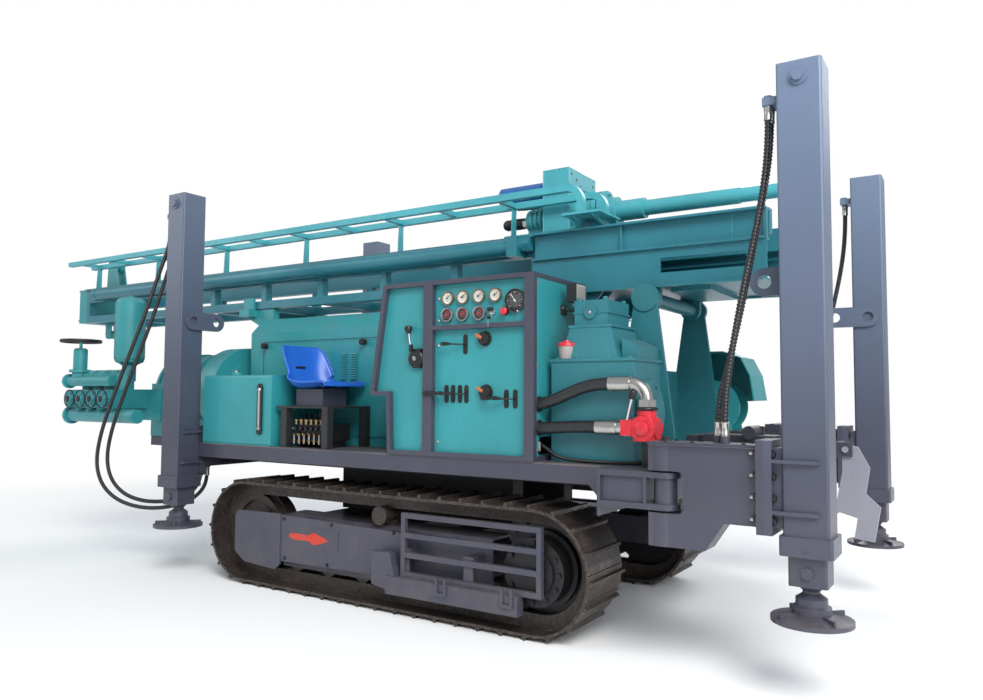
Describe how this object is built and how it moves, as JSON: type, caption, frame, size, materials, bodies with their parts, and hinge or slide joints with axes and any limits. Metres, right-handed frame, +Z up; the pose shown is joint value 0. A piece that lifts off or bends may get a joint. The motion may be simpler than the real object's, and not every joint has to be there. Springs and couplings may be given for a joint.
{
  "type": "crawler water well drilling rig",
  "caption": "Tracked water well drilling rig, mast laid flat, with swing-out jack legs, rotary head, mud pump, engine hood and control cabinet.",
  "frame": {"origin": "on the ground below the middle of the whole machine", "axes": "+X along the machine towards the drilling end, -Y the operator's side, +Z up"},
  "size_m": [6.85, 2.3296, 2.65],
  "materials": {
    "frame_grey": "satin paint",
    "teal": "gloss paint",
    "track_steel": "dusty steel",
    "bare_steel": "brushed",
    "seat_blue": "smooth moulded",
    "red_paint": "gloss paint",
    "dark_parts": "matt",
    "light_grey": "satin paint",
    "hose_black": "ribbed rubber",
    "blue_paint": "gloss paint"
  },
  "bodies": {
    "chassis": {"belt_guard": "teal", "cabinet_frame": "frame_grey", "cabinet_panels": "teal", "car_body": "frame_grey", "deck_frame": "frame_grey", "deck_plate": "frame_grey", "drill_table": "light_grey", "engine_block": "dark_parts", "engine_hood": "teal", "fork_plate": "light_grey", "gauges": "bare_steel", "hose_left_near_a": "hose_black", "hose_left_near_b": "hose_black", "idlers": "track_steel", "leg_tube_left_far": "frame_grey", "leg_tube_left_near": "frame_grey", "mast_rest": "teal", "mast_tower": "teal", "pump_fluid_end": "teal", "pump_platform": "frame_grey", "pump_power_end": "teal", "red_valve": "red_paint", "rollers": "track_steel", "seat": "seat_blue", "seat_stand": "frame_grey", "sprockets": "track_steel", "step_racks": "frame_grey", "tail_frame": "frame_grey", "tank": "teal", "track_far": "track_steel", "track_frame_far": "frame_grey", "track_frame_near": "frame_grey", "track_near": "track_steel", "transfer_gearbox": "teal", "valve_bank": "dark_parts", "valve_fittings": "bare_steel", "winch": "teal", "work_lamp": "dark_parts"},
    "arm_near": {"swing_arm_near": "frame_grey", "leg_tube_right_near": "frame_grey", "hose_right_near_a": "hose_black", "hose_right_near_b": "hose_black"},
    "arm_far": {"swing_arm_far": "frame_grey", "leg_tube_right_far": "frame_grey", "hose_right_far": "hose_black"},
    "jack_left_near": {"leg_inner_left_near": "frame_grey"},
    "jack_left_far": {"leg_inner_left_far": "frame_grey"},
    "jack_right_near": {"leg_inner_right_near": "frame_grey"},
    "jack_right_far": {"leg_inner_right_far": "frame_grey"},
    "mast": {"mast_beam": "teal", "mast_lugs": "teal", "mast_ladder": "teal", "crown": "teal", "feed_cylinder": "teal"},
    "head": {"head_gearbox": "teal", "head_motor": "blue_paint"},
    "spindle": {"drill_rod": "teal"},
    "sheave": {"crown_sheave": "teal"},
    "lift_barrels": {"lift_barrels": "frame_grey"},
    "lift_rods": {"lift_rods": "bare_steel"}
  },
  "joints": [
    {"name": "arm_near_swing", "type": "hinge", "parent": "chassis", "child": "arm_near", "pos_m": [2.655, -1.005, 0.82], "axis": [0, 0, -1], "range_deg": [0, 80]},
    {"name": "arm_far_swing", "type": "hinge", "parent": "chassis", "child": "arm_far", "pos_m": [2.655, 1.005, 0.82], "axis": [0, 0, 1], "range_deg": [0, 80]},
    {"name": "jack_left_near_slide", "type": "slide", "parent": "chassis", "child": "jack_left_near", "axis": [0, 0, -1], "range_m": [0, 1.2]},
    {"name": "jack_left_far_slide", "type": "slide", "parent": "chassis", "child": "jack_left_far", "axis": [0, 0, -1], "range_m": [0, 1.2]},
    {"name": "jack_right_near_slide", "type": "slide", "parent": "arm_near", "child": "jack_right_near", "axis": [0, 0, -1], "range_m": [0, 1.2]},
    {"name": "jack_right_far_slide", "type": "slide", "parent": "arm_far", "child": "jack_right_far", "axis": [0, 0, -1], "range_m": [0, 1.2]},
    {"name": "mast_tilt", "type": "hinge", "parent": "chassis", "child": "mast", "pos_m": [2.33, 0, 1.78], "axis": [0, 1, 0], "range_deg": [0, 90]},
    {"name": "head_feed", "type": "slide", "parent": "mast", "child": "head", "axis": [-1, 0, 0], "range_m": [0, 4.2]},
    {"name": "spindle_spin", "type": "hinge", "parent": "head", "child": "spindle", "pos_m": [1.8, 0, 2.379], "axis": [1, 0, 0], "continuous": true},
    {"name": "sheave_spin", "type": "hinge", "parent": "mast", "child": "sheave", "pos_m": [-3.315, 0, 2.5], "axis": [0, 1, 0], "continuous": true},
    {"name": "lift_foot", "type": "hinge", "parent": "chassis", "child": "lift_barrels", "pos_m": [1.15, 0, 1], "axis": [0, 1, 0], "range_deg": [-30, 30]},
    {"name": "lift_stroke", "type": "slide", "parent": "lift_barrels", "child": "lift_rods", "axis": [0.7182, 0, 0.6958], "range_m": [0, 0.7]}
  ],
  "couplings": [
    {"joint": "lift_foot", "follows": "mast_tilt", "ratio": -0.006015},
    {"joint": "lift_stroke", "follows": "mast_tilt", "m_per_rad": 0.34205}
  ]
}
